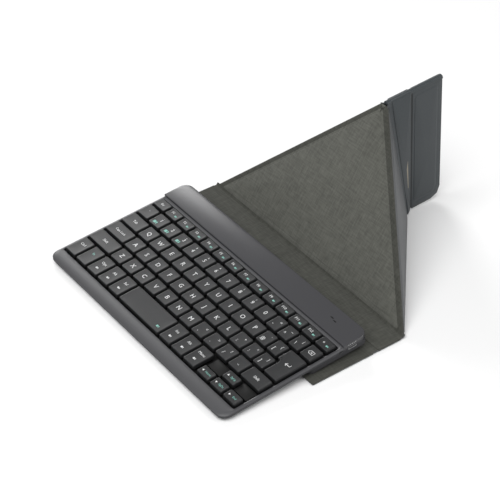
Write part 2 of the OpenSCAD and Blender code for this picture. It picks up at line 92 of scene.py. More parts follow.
@dataclass(frozen=True)
class Finish:
    """A procedural finish on Object coordinates."""

    name: str
    colour: tuple[float, float, float]
    second: tuple[float, float, float]
    roughness: float
    grain: Grain
    size: float
    depth: float
    metallic: float = 0.0
    sheen: float = 0.0
    specular: float = 0.5

    def material(self) -> bpy.types.Material:
        """Builds the material, or returns it when it is there already.

        Returns:
            A material whose colour drifts between two tones and whose relief follows the grain.
        """
        found = bpy.data.materials.get(self.name)
        if found:
            return found
        made = bpy.data.materials.new(self.name)
        made.use_nodes = True
        tree = made.node_tree
        shader = tree.nodes["Principled BSDF"]
        shader.inputs["Metallic"].default_value = self.metallic
        shader.inputs["Specular IOR Level"].default_value = self.specular
        if self.sheen:
            shader.inputs["Sheen Weight"].default_value = self.sheen
            shader.inputs["Sheen Roughness"].default_value = 0.5
        coords = tree.nodes.new("ShaderNodeTexCoord")
        self._colour(tree, shader, coords)
        self._relief(tree, shader, coords)
        return made

    def _noise(self, tree: bpy.types.NodeTree, coords: bpy.types.Node, scale: float, detail: float,
               stretch: tuple[float, float, float] = (1.0, 1.0, 1.0)) -> bpy.types.Node:
        """One noise texture on Object coordinates, stretched along the axes.

        Args:
            tree: The material's node tree.
            coords: The Texture Coordinate node.
            scale: Cells to a metre.
            detail: Octaves.
            stretch: Factor on each axis before the noise.

        Returns:
            The noise node.
        """
        mapping = tree.nodes.new("ShaderNodeMapping")
        mapping.inputs["Scale"].default_value = stretch
        noise = tree.nodes.new("ShaderNodeTexNoise")
        noise.inputs["Scale"].default_value = scale
        noise.inputs["Detail"].default_value = detail
        tree.links.new(coords.outputs["Object"], mapping.inputs["Vector"])
        tree.links.new(mapping.outputs["Vector"], noise.inputs["Vector"])
        return noise

    def _colour(self, tree: bpy.types.NodeTree, shader: bpy.types.Node, coords: bpy.types.Node) -> None:
        """Broad drift of the colour, with a fine speckle, and a drift of the roughness.

        The ramp reads share * fine + (1 - share) * broad.

        Args:
            tree: The material's node tree.
            shader: The Principled node.
            coords: The Texture Coordinate node.
        """
        broad = self._noise(tree, coords, BROAD_DRIFT, 3.0)
        if self.grain is Grain.WEAVE:
            fine = self._threads(tree, coords)
        else:
            fine = self._noise(tree, coords, 1.0 / self.size, 2.0).outputs["Fac"]
        blend = tree.nodes.new("ShaderNodeMath")
        blend.operation = "MULTIPLY_ADD"
        share = WEAVE_SHARE if self.grain is Grain.WEAVE else SPECKLE_SHARE
        blend.inputs[1].default_value = share
        tree.links.new(fine, blend.inputs[0])
        half = tree.nodes.new("ShaderNodeMath")
        half.operation = "MULTIPLY"
        half.inputs[1].default_value = 1.0 - share
        tree.links.new(broad.outputs["Fac"], half.inputs[0])
        tree.links.new(half.outputs["Value"], blend.inputs[2])
        ramp = tree.nodes.new("ShaderNodeValToRGB")
        ramp.color_ramp.elements[0].position = 0.34
        ramp.color_ramp.elements[0].color = (*self.colour, 1.0)
        ramp.color_ramp.elements[1].position = 0.66
        ramp.color_ramp.elements[1].color = (*self.second, 1.0)
        tree.links.new(blend.outputs["Value"], ramp.inputs["Fac"])
        tree.links.new(ramp.outputs["Color"], shader.inputs["Base Color"])
        spread = tree.nodes.new("ShaderNodeMapRange")
        spread.inputs["To Min"].default_value = self.roughness - ROUGHNESS_DRIFT
        spread.inputs["To Max"].default_value = self.roughness + ROUGHNESS_DRIFT
        tree.links.new(broad.outputs["Fac"], spread.inputs["Value"])
        tree.links.new(spread.outputs["Result"], shader.inputs["Roughness"])

    def _threads(self, tree: bpy.types.NodeTree, coords: bpy.types.Node) -> bpy.types.NodeSocket:
        """Heathered cloth: the mean of noise drawn out along the width and noise along the length.

        Args:
            tree: The material's node tree.
            coords: The Texture Coordinate node.

        Returns:
            The socket that gives the mean.
        """
        across = self._noise(tree, coords, 1.0 / self.size, 2.0, (THREAD_STRETCH, 1.0, 1.0))
        along = self._noise(tree, coords, 1.0 / self.size, 2.0, (1.0, THREAD_STRETCH, THREAD_STRETCH))
        mean = tree.nodes.new("ShaderNodeMix")
        mean.data_type = "FLOAT"
        mean.inputs["Factor"].default_value = 0.5
        tree.links.new(across.outputs["Fac"], mean.inputs["A"])
        tree.links.new(along.outputs["Fac"], mean.inputs["B"])
        return mean.outputs["Result"]

    def _relief(self, tree: bpy.types.NodeTree, shader: bpy.types.Node, coords: bpy.types.Node) -> None:
        """Relief: cells for leather, threads for cloth, long noise for metal, plain noise for the rest.

        Args:
            tree: The material's node tree.
            shader: The Principled node.
            coords: The Texture Coordinate node.
        """
        bump = tree.nodes.new("ShaderNodeBump")
        bump.inputs["Strength"].default_value = 1.0
        bump.inputs["Distance"].default_value = self.depth
        if self.grain is Grain.PEBBLE:
            cells = tree.nodes.new("ShaderNodeTexVoronoi")
            cells.feature = "SMOOTH_F1"
            cells.inputs["Scale"].default_value = 1.0 / self.size
            tree.links.new(coords.outputs["Object"], cells.inputs["Vector"])
            height = cells.outputs["Distance"]
        elif self.grain is Grain.WEAVE:
            height = self._threads(tree, coords)
        elif self.grain is Grain.BRUSHED:
            height = self._noise(tree, coords, 1.0 / self.size, 3.0, (0.06, 1.0, 1.0)).outputs["Fac"]
        else:
            height = self._noise(tree, coords, 1.0 / self.size, 4.0).outputs["Fac"]
        tree.links.new(height, bump.inputs["Height"])
        tree.links.new(bump.outputs["Normal"], shader.inputs["Normal"])


KEY_PLASTIC = Finish("key_plastic", (0.013, 0.0135, 0.0145), (0.019, 0.0195, 0.0205),
                     0.34, Grain.MOULDED, 0.3 * MM, 0.0030 * MM, specular=0.45)
DECK_PLASTIC = Finish("deck_plastic", (0.007, 0.0075, 0.0085), (0.010, 0.0105, 0.0115),
                      0.30, Grain.MOULDED, 0.3 * MM, 0.0015 * MM, specular=0.40)
BAR_PLASTIC = Finish("bar_plastic", (0.007, 0.0075, 0.0085), (0.010, 0.0105, 0.0115),
                     0.24, Grain.MOULDED, 0.3 * MM, 0.0008 * MM, specular=0.45)
# Black case plastic, darker and duller than the deck: painted shade on the side walls.
CASE_PLASTIC_DARKENED_FOR_SHADE = Finish("case_plastic", (0.003, 0.003, 0.0035), (0.005, 0.005, 0.0055),
                      0.45, Grain.MOULDED, 0.3 * MM, 0.02 * MM, specular=0.12)
# Near-black. On the hidden key plate, membrane and scissors it is painted shade that keeps the gaps between
# caps dark; it also covers the indicator lenses and the arrow plates.
BLACK_PARTS_AND_GAP_SHADE = Finish("black_and_gap_shade", (0.003, 0.003, 0.003), (0.006, 0.006, 0.006),
                    0.6, Grain.MOULDED, 0.3 * MM, 0.01 * MM, specular=0.2)
MICROFIBRE = Finish("microfibre_lining", (0.070, 0.071, 0.062), (0.125, 0.127, 0.111),
                    0.92, Grain.WEAVE, 1.1 * MM, 0.12 * MM, sheen=0.2, specular=0.12)
# Darker copy of the microfibre lining: painted shade on the lining of the base and spine strip and on the
# fronts of the wing, spine and foot creases.
PAINTED_SHADE_LINING = Finish("lining_in_painted_shade", (0.040, 0.041, 0.035), (0.074, 0.075, 0.065),
                      0.92, Grain.WEAVE, 1.1 * MM, 0.12 * MM, sheen=0.15, specular=0.1)
# Pale grey for the wing's lining face: painted sheen, the brightness of the lining at a grazing angle put
# into the colour.
WING_FACE_PAINTED_SHEEN = Finish("smooth_leather", (0.17, 0.175, 0.18), (0.22, 0.225, 0.23),
                        0.40, Grain.PEBBLE, 0.7 * MM, 0.022 * MM, specular=0.6)
FIN_LEATHER = Finish("fin_leather", (0.042, 0.049, 0.053), (0.056, 0.063, 0.067),
                     0.48, Grain.PEBBLE, 0.7 * MM, 0.030 * MM, specular=0.3)
CREASE_LEATHER = Finish("crease_leather", (0.028, 0.030, 0.031), (0.040, 0.042, 0.043),
                        0.6, Grain.PEBBLE, 0.7 * MM, 0.030 * MM, specular=0.2)
BACK_LEATHER = Finish("outer_leather", (0.055, 0.060, 0.064), (0.075, 0.080, 0.084),
                      0.5, Grain.PEBBLE, 0.9 * MM, 0.07 * MM)
BOARD = Finish("board_pulp", (0.25, 0.22, 0.17), (0.33, 0.30, 0.24),
               0.9, Grain.NAP, 0.6 * MM, 0.05 * MM)
STEEL = Finish("plated_steel", (0.45, 0.45, 0.46), (0.58, 0.58, 0.58),
               0.3, Grain.BRUSHED, 0.3 * MM, 0.005 * MM, metallic=1.0)
RUBBER = Finish("foot_rubber", (0.012, 0.012, 0.012), (0.022, 0.022, 0.022),
                0.8, Grain.MOULDED, 0.5 * MM, 0.03 * MM)
SILICONE = Finish("dome_silicone", (0.6, 0.6, 0.6), (0.7, 0.7, 0.7),
                  0.5, Grain.MOULDED, 0.5 * MM, 0.01 * MM)
CIRCUIT = Finish("solder_mask", (0.01, 0.08, 0.035), (0.015, 0.12, 0.05),
                 0.35, Grain.MOULDED, 1.5 * MM, 0.02 * MM)
WHITE_INK = Finish("white_ink", (0.62, 0.63, 0.63), (0.74, 0.75, 0.75),
                   0.55, Grain.MOULDED, 0.2 * MM, 0.004 * MM)
TEAL_INK = Finish("teal_ink", (0.16, 0.40, 0.34), (0.22, 0.50, 0.43),
                  0.55, Grain.MOULDED, 0.2 * MM, 0.004 * MM)
LENS = Finish("lens_plastic", (0.02, 0.025, 0.025), (0.03, 0.035, 0.035),
              0.15, Grain.MOULDED, 0.5 * MM, 0.002 * MM)


# ---------------------------------------------------------------- geometry


@dataclass
class Plane:
    """A flat working plane: an origin and three unit axes, the last one its normal."""

    origin: np.ndarray
    ex: np.ndarray
    ey: np.ndarray
    ez: np.ndarray

    @classmethod
    def through(cls, origin: np.ndarray, along: np.ndarray, inside: np.ndarray) -> Plane:
        """A plane whose x axis runs from origin to along, and whose y axis points towards inside.

        Args:
            origin: The plane's origin.
            along: A point on its x axis.
            inside: A point on the side of positive y.

        Returns:
            The plane.
        """
        origin = np.asarray(origin, float)
        ex = unit(np.asarray(along, float) - origin)
        lead = np.asarray(inside, float) - origin
        ey = unit(lead - ex * (lead @ ex))
        return cls(origin, ex, ey, np.cross(ex, ey))

    def world(self, points: np.ndarray) -> np.ndarray:
        """Plane coordinates to the row frame: origin + x ex + y ey + z ez."""
        points = np.asarray(points, float)
        return self.origin + points @ np.stack([self.ex, self.ey, self.ez])

    def local(self, points: np.ndarray) -> np.ndarray:
        """The row frame to plane coordinates."""
        shifted = np.asarray(points, float) - self.origin
        return shifted @ np.stack([self.ex, self.ey, self.ez]).T


def unit(vector: np.ndarray) -> np.ndarray:
    """The vector scaled to length one."""
    return vector / np.linalg.norm(vector)


def mirrored(points: np.ndarray) -> np.ndarray:
    """The points with x turned over."""
    return np.asarray(points, float) * np.array([-1.0, 1.0, 1.0])


def vertices_of(node: str) -> np.ndarray:
    """All vertices of a CAD node, in the row frame.

    Args:
        node: The CAD node's name.

    Returns:
        An array of shape (count, 3).
    """
    data = frame["nodes"][node].data
    flat = np.zeros(len(data.vertices) * 3, np.float32)
    data.vertices.foreach_get("co", flat)
    return flat.reshape(-1, 3).astype(float)


def outline(corners: np.ndarray, insets: np.ndarray, radius: float, steps: int = 5) -> np.ndarray:
    """A closed outline: each side moves inwards by its inset, and each corner becomes an arc.

    The moved sides meet at p + u cross(q - p, v) / cross(u, v), and an arc of turn a starts
    r tan(a / 2) before that point.  A hollow corner turns the other way round its own centre.

    Args:
        corners: Corner points, anticlockwise, shape (n, 2).
        insets: How far each side, from corner i to the next, moves inwards.
        radius: Radius of the corners on the outline.
        steps: Points on each arc, less one.

    Returns:
        Points of shape (n * (steps + 1), 2).
    """
    corners = np.asarray(corners, float)
    insets = np.broadcast_to(np.asarray(insets, float), (len(corners),))
    sides = np.roll(corners, -1, 0) - corners
    sides /= np.linalg.norm(sides, axis=1)[:, None]
    inward = np.stack([-sides[:, 1], sides[:, 0]], 1)
    moved = corners + inward * insets[:, None]
    before, u = np.roll(moved, 1, 0), np.roll(sides, 1, 0)
    cross = u[:, 0] * sides[:, 1] - u[:, 1] * sides[:, 0]
    gap = moved - before
    along = (gap[:, 0] * sides[:, 1] - gap[:, 1] * sides[:, 0]) / cross
    meet = before + u * along[:, None]
    turn = np.arctan2(cross, (u * sides).sum(1))
    hollow = np.sign(turn)
    shrink = np.where(hollow > 0, -1.0, 1.0) * insets.mean()
    r = np.maximum(radius + shrink, 0.05 * MM)
    n_in = np.stack([-u[:, 1], u[:, 0]], 1) * hollow[:, None]
    centre = meet - u * (r * np.tan(np.abs(turn) / 2))[:, None] + n_in * r[:, None]
    angle = turn[:, None] * np.linspace(0, 1, steps + 1)[None, :]
    cos, sin = np.cos(angle), np.sin(angle)
    nx, ny = n_in[:, :1], n_in[:, 1:]
    arc = np.stack([nx * cos - ny * sin, nx * sin + ny * cos], -1)
    return (centre[:, None, :] - arc * r[:, None, None]).reshape(-1, 2)


def volume(points: np.ndarray, faces: list) -> float:
    """Signed volume of a closed form: the sum over fan triangles of a . (b x c) / 6.

    Args:
        points: Shape (points, 3).
        faces: Lists of point numbers.

    Returns:
        The volume, positive where the faces point outwards.
    """
    centred = points - points.mean(0)
    fans = [[face[0], face[k], face[k + 1]] for face in faces for k in range(1, len(face) - 1)]
    a, b, c = (centred[np.array(fans)[:, k]] for k in range(3))
    return float((a * np.cross(b, c)).sum() / 6)


def across(point: np.ndarray, start: np.ndarray, end: np.ndarray) -> np.ndarray:
    """The part of d = point - start that stands square to the line from start to end: d - u (d . u).

    Args:
        point: The point.
        start: One point of the line.
        end: Another point of the line.

    Returns:
        A vector square to the line.
    """
    along = unit(end - start)
    lead = point - start
    return lead - along * (lead @ along)


@dataclass
class MeshParts:
    """Vertices and faces gathered from several closed forms, to become one object."""

    points: list = field(default_factory=list)
    faces: list = field(default_factory=list)
    finishes: list = field(default_factory=list)
    count: int = 0

    def add(self, points: np.ndarray, faces: list, finish: int | list = 0) -> None:
        """Adds one form, whose faces take one finish number or one each.

        Args:
            points: Shape (points, 3).
            faces: Lists of point numbers.
            finish: A finish number, or one for each face.
        """
        self.points.append(points)
        self.faces.extend([[i + self.count for i in face] for face in faces])
        self.finishes.extend(finish if isinstance(finish, list) else [finish] * len(faces))
        self.count += len(points)

    def loft(self, rings: np.ndarray, finish: int = 0, split: int | None = None, fan: bool = False) -> None:
        """A closed form through rings of equal count, capped at both ends.

        Ring i joins ring i + 1 by quads, point to point, and the faces turn to point outwards.

        Args:
            rings: Shape (rings, points, 3).
            finish: Finish number of the faces.
            split: Where given, faces from this ring on take finish + 1.
            fan: Whether each cap is a fan of triangles round its middle, and not one flat face.
        """
        levels, around = rings.shape[:2]
        i, j = np.meshgrid(np.arange(levels - 1), np.arange(around), indexing="ij")
        a, b = i * around + j, i * around + (j + 1) % around
        quads = np.stack([a, b, b + around, a + around], -1).reshape(-1, 4).tolist()
        kinds = [finish] * len(quads)
        if split is not None:
            kinds = [finish + (k // around >= split) for k in range(len(quads))]
        low = list(range(around - 1, -1, -1))
        high = list(range((levels - 1) * around, levels * around))
        points, caps = rings.reshape(-1, 3), [[low], [high]]
        if fan:
            middles = levels * around
            points = np.concatenate([points, rings[[0, -1]].mean(1)])
            caps = [[[cap[k - 1], cap[k], middles + n] for k in range(around)]
                    for n, cap in enumerate((low, high))]
        faces = [*quads, *caps[0], *caps[1]]
        if volume(points, faces) < 0:
            faces = [face[::-1] for face in faces]
        last = finish + (split is not None)
        self.add(points, faces, [*kinds, *[finish] * len(caps[0]), *[last] * len(caps[1])])

    def build(self, name: str, finishes: list[Finish], smooth_angle: float = 0.6) -> bpy.types.Object:
        """Makes the object, shaded smooth with sharp edges where faces turn by more than an angle.

        Args:
            name: The object's name.
            finishes: Finishes, in the order of the finish numbers.
            smooth_angle: The angle, in radians.

        Returns:
            The new object, linked to the scene.
        """
        mesh = bpy.data.meshes.new(name)
        mesh.from_pydata(np.concatenate(self.points).tolist(), [], self.faces)
        mesh.polygons.foreach_set("material_index", self.finishes)
        for finish in finishes:
            mesh.materials.append(finish.material())
        mesh.update()
        mesh.shade_smooth()
        mesh.set_sharp_from_angle(angle=smooth_angle)
        made = bpy.data.objects.new(name, mesh)
        bpy.context.scene.collection.objects.link(made)
        return made


def place(piece: bpy.types.Object, body: str, slot: str, *nodes: str) -> bpy.types.Object:
    """Rides a piece on a body and hides the CAD nodes that it stands for.

    Args:
        piece: The piece.
        body: The body's name.
        slot: The record's slot; not used.
        nodes: The CAD nodes that the piece replaces.

    Returns:
        The same piece.
    """
    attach(piece, body)
    if nodes:
        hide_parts(*nodes)
    log.info("%s rides on %s", piece.name, body)
    return piece


# ---------------------------------------------------------------- keyboard


def keyboard_plane() -> Plane:
    """The keyboard's own plane: its normal is against the way the space bar is pressed."""
    normal = -np.array(JOINTS["space_bar_press"]["axis"], float)
    across = np.array([1.0, 0.0, 0.0])
    return Plane(np.zeros(3), across, np.cross(normal, across), normal)


@dataclass
class Slab:
    """The slim slab: deck, side walls and the raised bar."""

    plane: Plane
    corner: float = 8 * MM
    edge: float = 0.5 * MM
    bevel: float = 6.2 * MM
    wall_h: float = 4 * MM
    well_edge: float = 0.35 * MM
    well_margin: float = 1.3 * MM
    profile: ClassVar[list[tuple[float, float]]] = [
        (2.6, 0.0), (1.7, 0.25), (0.9, 0.8), (0.35, 1.5), (0.06, 2.2), (0.0, 2.6), (0.0, 3.6), (0.12, 4.0),
        (1.2, 4.0), (1.2, 0.8)]

    def dress(self) -> None:
        """Builds the deck and bar, and gives the CAD parts their finishes."""
        self.deck()
        self.bar()
        self.end_slots()
        self.fillers()
        self.shell()
        self.inner_parts()

    def _extent(self, node: str) -> tuple[np.ndarray, np.ndarray]:
        """Lowest and highest corner of a node, in the keyboard's plane."""
        local = self.plane.local(vertices_of(node))
        return local.min(0), local.max(0)

    def deck(self) -> None:
        """Top plate with a rolled outer edge and a rounded edge round the key well.

        Rings run from the outer edge's underside, over the edge, across the deck and down the well.
        """
        low, high = self._extent("top_case")
        well_low, well_high = self._well()
        outer = rectangle(low, high)
        inner = rectangle(well_low, well_high)
        rings = []
        ramp = np.array([self.bevel, 1.1 * MM, 0.7 * MM, 1.1 * MM])
        level = 0.0 * ramp
        for inset, drop in [(level, high[2] - low[2]), (level, 2.2 * self.edge),
                            (level + 0.1 * MM, 1.6 * self.edge), (level + 0.4 * MM, 1.2 * self.edge),
                            (0.9 * ramp, 0.12 * self.edge), (ramp, 0.0)]:
            rings.append(lifted(outline(outer, inset, self.corner), high[2] - drop))
        for inset, z in [(-self.well_edge, high[2]),
                         (-0.3 * self.well_edge, high[2] - 0.3 * self.well_edge),
                         (0.0, high[2] - self.well_edge), (0.0, low[2])]:
            rings.append(lifted(outline(inner, inset, 1.6 * MM), z))
        parts = MeshParts()
        stack = self.plane.world(np.array(rings))
        levels, around = stack.shape[:2]
        i, j = np.meshgrid(np.arange(levels), np.arange(around), indexing="ij")
        a, b = i * around + j, i * around + (j + 1) % around
        c, d = (a + around) % (levels * around), (b + around) % (levels * around)
        parts.add(stack.reshape(-1, 3), np.stack([a, b, d, c], -1).reshape(-1, 4).tolist())
        place(parts.build("deck_plate", [DECK_PLASTIC]), "base", "deck_plastic", "top_case")

    def _well(self) -> tuple[np.ndarray, np.ndarray]:
        """Corners of the key well: the membrane's extent, with a margin at each end.

        Returns:
            The low and high corners.
        """
        low, high = self._extent("membrane")
        deck_low, deck_high = self._extent("top_case")
        return (np.array([low[0] - self.well_margin, low[1], deck_low[2]]),
                np.array([high[0] + self.well_margin, high[1], deck_high[2]]))

    def bar(self) -> None:
        """Raised bar with soft edges, square at its front corners and round at its rear ones."""
        low, high = self._extent("control_bar")
        corners = rectangle(low, high)
        parts = MeshParts()
        rings = []
        for inset, z in [(0.0, low[2]), (0.0, high[2] - 0.7 * MM), (0.12 * MM, high[2] - 0.3 * MM),
                         (0.35 * MM, high[2] - 0.08 * MM), (0.8 * MM, high[2])]:
            ring = outline(corners, inset, self.corner, 8)
            half = len(ring) // 2
            square = outline(corners, inset, 0.6 * MM, 8)
            ring[:half] = square[:half]
            rings.append(lifted(ring, z))
        parts.loft(self.plane.world(np.array(rings)))
        place(parts.build("raised_bar", [BAR_PLASTIC]), "base", "bar_plastic", "control_bar")

    def shell(self) -> None:
        """Underside shell: side walls that turn under with a broad chamfer, and the battery bulge.

        The rings step outwards from the floor to the wall, over its top and down inside it to the
        floor's upper face, so the shell is open above.  The bulge is a second loft.
        """
        low, high = self._extent("bottom_case")
        front = self._extent("mounting_strip")[0][1]
        floor = low[2] + (high[2] - low[2]) - self.wall_h
        parts = MeshParts()
        box = rectangle(low, high)
        rings = [lifted(outline(box, k * MM, self.corner), floor + z * MM) for k, z in self.profile]
        parts.loft(self.plane.world(np.array(rings)))
        low[1] = front
        back = rectangle(low, high)
        tuck = [1.2 * MM, 0.8 * MM, 0.8 * MM, 0.8 * MM]
        rings = [lifted(outline(back, np.array(tuck) * k + 0.25 * MM, 5 * MM), z) for k, z in
                 ((1.6, low[2]), (1.0, low[2] + 0.3 * MM), (0.8, low[2] + 1.0 * MM), (0.8, floor + 1.2 * MM))]
        parts.loft(self.plane.world(np.array(rings)))
        # The shell takes the darkened case finish: painted shade on the side walls.
        place(parts.build("underside_shell", [CASE_PLASTIC_DARKENED_FOR_SHADE]), "base", "case_plastic", "bottom_case")

    def fillers(self) -> None:
        """Plates level with the deck, either side of the up key, that reach nearly to their neighbours."""
        local = self.plane.local(vertices_of("arrow_fillers"))
        middle = local[:, 0].mean()
        top = self._extent("top_case")[1][2]
        parts = MeshParts()
        for part in (local[local[:, 0] < middle], local[local[:, 0] > middle]):
            corners = rectangle(part.min(0) - 0.6 * MM, part.max(0) + 0.6 * MM)
            rings = [lifted(outline(corners, k, 0.8 * MM), z) for k, z in
                     ((0, part.min(0)[2]), (0, top - 0.25 * MM), (0.1 * MM, top - 0.08 * MM),
                      (0.25 * MM, top))]
            parts.loft(self.plane.world(np.array(rings)))
        place(parts.build("arrow_plates", [BLACK_PARTS_AND_GAP_SHADE]), "base", "deck_plastic", "arrow_fillers")

    def end_slots(self) -> None:
        """A row of short ribs beside the switch, and the dark lens in the bar's top."""
        low, high = self._extent("control_bar")
        parts = MeshParts()
        for k in range(5):
            y = low[1] + (4 + 1.7 * k) * MM
            x = high[0] - 0.05 * MM
            corners = rectangle(np.array([x, y]), np.array([x + 0.18 * MM, y + 0.7 * MM]))
            rings = [lifted(outline(corners, 0, 0.05 * MM, 2), z)
                     for z in (low[2] + 0.4 * MM, low[2] + 1.2 * MM)]
            parts.loft(self.plane.world(np.array(rings)))
        place(parts.build("end_ribs", [STEEL]), "base", "bar_plastic")
        repaint("led_window", LENS)
        top = high[2]
        parts = MeshParts()
        for x, y in ((-31.0, 13.2), (-26.5, 12.0)):
            spot = np.array([high[0] + x * MM, low[1] + y * MM])
            size = np.array([[-1.7, -0.55], [1.7, -0.55], [1.7, 0.55], [-1.7, 0.55]]) * MM
            rings = [lifted(outline(spot + size, k, 0.4 * MM, 3), z)
                     for k, z in ((0, top - 0.3 * MM), (0, top + 0.04 * MM), (0.1 * MM, top + 0.07 * MM))]
            parts.loft(self.plane.world(np.array(rings)))
        place(parts.build("indicator_lenses", [BLACK_PARTS_AND_GAP_SHADE]), "base", "lens")

    def inner_parts(self) -> None:
        """Finishes of the CAD parts that keep their own shape."""
        # The key plate, membrane and scissors take the near-black finish as painted shade in the key gaps;
        # the record gives them steel, clear film and pale plastic.
        finish_of = {
            "key_plate": BLACK_PARTS_AND_GAP_SHADE,
            "membrane": BLACK_PARTS_AND_GAP_SHADE, "rubber_domes": SILICONE, "key_scissors": BLACK_PARTS_AND_GAP_SHADE,
            "circuit_board": CIRCUIT, "battery": STEEL, "usb_port": STEEL, "power_switch": KEY_PLASTIC,
            "case_screws": STEEL, "rubber_feet": RUBBER, "mounting_strip": RUBBER,
            "right_flap_magnets": STEEL, "left_flap_magnets": STEEL,
        }
        for node, finish in finish_of.items():
            repaint(node, finish)
        for node in frame["nodes"]:
            if node.endswith("_board") and node != "circuit_board":
                repaint(node, BOARD)


def rectangle(low: np.ndarray, high: np.ndarray) -> np.ndarray:
    """Corners of a box in plan, anticlockwise from the low corner."""
    return np.array([[low[0], low[1]], [high[0], low[1]], [high[0], high[1]], [low[0], high[1]]])


def lifted(points: np.ndarray, z: float) -> np.ndarray:
    """Flat points at one height."""
    return np.column_stack([points, np.full(len(points), z)])


def repaint(node: str, finish: Finish) -> None:
    """Gives a CAD node a finish through its own slots.

    Args:
        node: The CAD node's name.
        finish: The finish.
    """
    thing = frame["nodes"][node]
    made = finish.material()
    if not thing.data.materials:
        thing.data.materials.append(made)
    for number in range(len(thing.material_slots)):
        thing.material_slots[number].material = made


@dataclass
class KeyField:
    """All key caps, each row or single key on its own body, with printed legends."""

    plane: Plane
    radius: float = 1.5 * MM
    dish: float = 0.10 * MM
    ink: float = 0.03 * MM
    least_gap: float = 1.2 * MM
    least_cap: float = 7 * MM

    ROWS: ClassVar[dict[str, list[str]]] = {
        "function_keys": [f"F{n}" for n in range(1, 13)] + ["o"],
        "digit_keys": list("`1234567890-^\\"),
        "upper_letter_keys": list("QWERTYUIOP@["),
        "home_letter_keys": list("ASDFGHJKL;:]"),
        "lower_letter_keys": list("ZXCVBNM,./_"),
        "modifier_keys": ["Ctrl", "fn", "Opt", "Alt", "Sel", "Ins", "Alt", "Menu"],
        "escape_key": ["Esc"],
        "tab_key": ["Tab"],
        "caps_key": ["Caps Lock"],
        "left_shift_key": ["Shift"],
        "right_shift_key": ["Shift"],
        "backspace_key": ["<"],
        "space_bar": [""],
        "up_key": ["PgUp"],
        "down_key": ["PgDn"],
        "left_key": ["Home"],
        "right_key": ["End"],
    }
    SHIFTED: ClassVar[dict[str, str]] = dict(zip("123456789,./;:@[]-^\\", "!?#$%&'()<>?+*`{}=~|"))
    ARROWS: ClassVar[dict[str, int]] = {"up_key": 90, "down_key": -90, "left_key": 180, "right_key": 0}

    def dress(self) -> None:
        """Builds the caps and the legends of every key node."""
        for node, legends in self.ROWS.items():
            spans = self._caps(node)
            caps = MeshParts()
            for low, high in spans:
                self._cap(caps, rectangle(low, high), low[2], high[2])
            place(caps.build(f"{node}_caps", [KEY_PLASTIC]), node, "keys", node)
            self._print(node, spans, legends)
        self._enter()

    def _caps(self, node: str) -> list[tuple[np.ndarray, np.ndarray]]:
        """Boxes of the separate caps of a node, split where the x coordinates leave a gap.

        Args:
            node: The CAD node's name.

        Returns:
            The low and high corners of each cap, from left to right.
        """
        local = self.plane.local(vertices_of(node))
        local = local[np.argsort(local[:, 0])]
        breaks = np.where(np.diff(local[:, 0]) > self.least_gap)[0] + 1
        groups = np.split(local, breaks)
        spans = []
        while groups:
            part = groups.pop(0)
            while groups and part[:, 0].max() - part[:, 0].min() < self.least_cap or self._half(part, groups):
                part = np.concatenate([part, groups.pop(0)])
            spans.append((part.min(0), part.max(0)))
        return spans

    def _half(self, part: np.ndarray, groups: list) -> bool:
        """Whether a part is only one side of a cap, whose flat faces have no points between.

        Args:
            part: Points gathered so far.
            groups: Groups of points that are left.

        Returns:
            True where the part is too narrow to be a whole cap.
        """
        if not groups:
            return False
        width = part[:, 0].max() - part[:, 0].min()
        return width < 2 * self.radius + 0.2 * MM

    def _cap(self, parts: MeshParts, corners: np.ndarray, base: float, top: float) -> None:
        """One cap: straight skirt, rolled shoulder and a shallow dish in the top.

        The rings step inwards and upwards, then the inner ones sink by the dish's depth.

        Args:
            parts: Where the cap is gathered.
            corners: The cap's outline, anticlockwise.
            base: Height of its underside.
            top: Height of its rim.
        """
        size = corners.max(0) - corners.min(0)
        reach = 0.36 * size.min()
        steps = [(0.1 * MM, base), (0.0, base + 0.2 * MM), (0.26 * MM, top - 0.42 * MM),
                 (0.34 * MM, top - 0.2 * MM), (0.5 * MM, top - 0.06 * MM), (0.75 * MM, top),
                 (1.1 * MM, top - 0.02 * MM),
                 (0.5 * reach, top - 0.5 * self.dish), (reach, top - self.dish)]
        rings = [lifted(outline(corners, inset, self.radius + 0.6 * max(inset - 1 * MM, 0)), z)
                 for inset, z in steps]
        parts.loft(self.plane.world(np.array(rings)))

    def _enter(self) -> None:
        """The L-shaped enter cap: its upper part is wider than its lower part."""
        local = self.plane.local(vertices_of("enter_key"))
        low, high = local.min(0), local.max(0)
        lower = local[local[:, 1] < low[1] + 6 * MM]
        upper = local[local[:, 0] < low[0] + 1 * MM]
        x_low, y_low = lower[:, 0].min(), upper[:, 1].min()
        corners = np.array([[x_low, low[1]], [high[0], low[1]], [high[0], high[1]], [low[0], high[1]],
                            [low[0], y_low], [x_low, y_low]])
        parts = MeshParts()
        self._cap(parts, corners, low[2], high[2])
        place(parts.build("enter_key_cap", [KEY_PLASTIC]), "enter_key", "keys", "enter_key")
        ink = MeshParts()
        x, y = (x_low + high[0]) / 2, (low[1] + high[1]) / 2 + 2 * MM
        z = high[2] - self.dish
        path = np.array([[2.4, 1.8], [2.4, 0.0], [-2.4, 0.0]]) * MM + [x, y]
        self._stroke(ink, path, z)
        self._stroke(ink, np.array([[-1.0, 1.3], [-2.5, 0.0], [-1.0, -1.3]]) * MM + [x, y], z)
        place(ink.build("enter_legend", [WHITE_INK]), "enter_key", "keys")

    def _stroke(self, ink: MeshParts, path: np.ndarray, z: float, width: float = 0.45 * MM) -> None:
        """Short straight bars of ink along a path of a few points.

        Args:
            ink: Where the bars are gathered.
            path: Shape (points, 2).
            z: Height of the cap's surface.
            width: Width of the bars.
        """
        for start, end in zip(path[:-1], path[1:]):
            u = unit(end - start)
            side = np.array([-u[1], u[0]]) * width / 2
            start, end = start - u * width / 2, end + u * width / 2
            corners = np.array([start - side, end - side, end + side, start + side])
            rings = [lifted(corners, z - self.ink), lifted(corners, z + self.ink)]
            ink.loft(self.plane.world(np.array(rings)))

